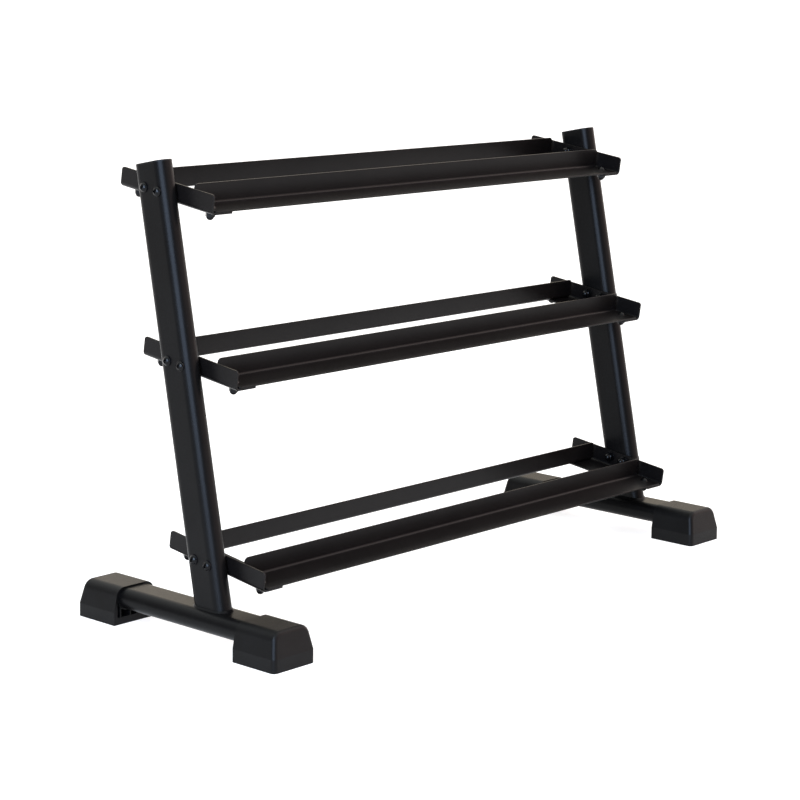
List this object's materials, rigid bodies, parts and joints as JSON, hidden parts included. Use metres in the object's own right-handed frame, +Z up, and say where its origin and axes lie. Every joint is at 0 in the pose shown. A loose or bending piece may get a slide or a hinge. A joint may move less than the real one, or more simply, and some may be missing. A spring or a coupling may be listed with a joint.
{
  "type": "dumbbell rack",
  "caption": "Free-standing tiered dumbbell rack: leaning flat-oval uprights on footed base tubes carry sloping shelves of paired angle rails bolted to end brackets.",
  "frame": {"origin": "on the floor, at the centre of the rack's overall box", "axes": "+X to the right along the rails as seen by someone loading the rack, +Y to the back, away from that person, +Z up"},
  "size_m": [1.364, 0.529, 0.8813],
  "materials": {
    "frame_coat": "satin black powder coat on flat-oval steel tube",
    "shelf_coat": "satin black powder coat on folded steel sheet",
    "foot_plastic": "fine-textured matte black moulding",
    "cap_plastic": "matte black moulding",
    "fastener_black": "gloss black plated steel"
  },
  "bodies": {
    "root": {"base_tube_left": "frame_coat", "upright_left": "frame_coat", "upright_weld_left": "frame_coat", "upright_cap_left": "cap_plastic", "foot_front_left": "foot_plastic", "foot_rear_left": "foot_plastic", "base_tube_right": "frame_coat", "upright_right": "frame_coat", "upright_weld_right": "frame_coat", "upright_cap_right": "cap_plastic", "foot_front_right": "foot_plastic", "foot_rear_right": "foot_plastic", "bracket_top_left": "shelf_coat", "bracket_top_right": "shelf_coat", "rail_top_front": "shelf_coat", "rail_top_rear": "shelf_coat", "post_bolts_top": "fastener_black", "post_washers_top": "fastener_black", "post_nuts_top": "fastener_black", "rail_bolts_top": "fastener_black", "rail_washers_top": "fastener_black", "rail_nuts_top": "fastener_black", "bracket_middle_left": "shelf_coat", "bracket_middle_right": "shelf_coat", "rail_middle_front": "shelf_coat", "rail_middle_rear": "shelf_coat", "post_bolts_middle": "fastener_black", "post_washers_middle": "fastener_black", "post_nuts_middle": "fastener_black", "rail_bolts_middle": "fastener_black", "rail_washers_middle": "fastener_black", "rail_nuts_middle": "fastener_black", "bracket_bottom_left": "shelf_coat", "bracket_bottom_right": "shelf_coat", "rail_bottom_front": "shelf_coat", "rail_bottom_rear": "shelf_coat", "post_bolts_bottom": "fastener_black", "post_washers_bottom": "fastener_black", "post_nuts_bottom": "fastener_black", "rail_bolts_bottom": "fastener_black", "rail_washers_bottom": "fastener_black", "rail_nuts_bottom": "fastener_black"}
  },
  "joints": []
}
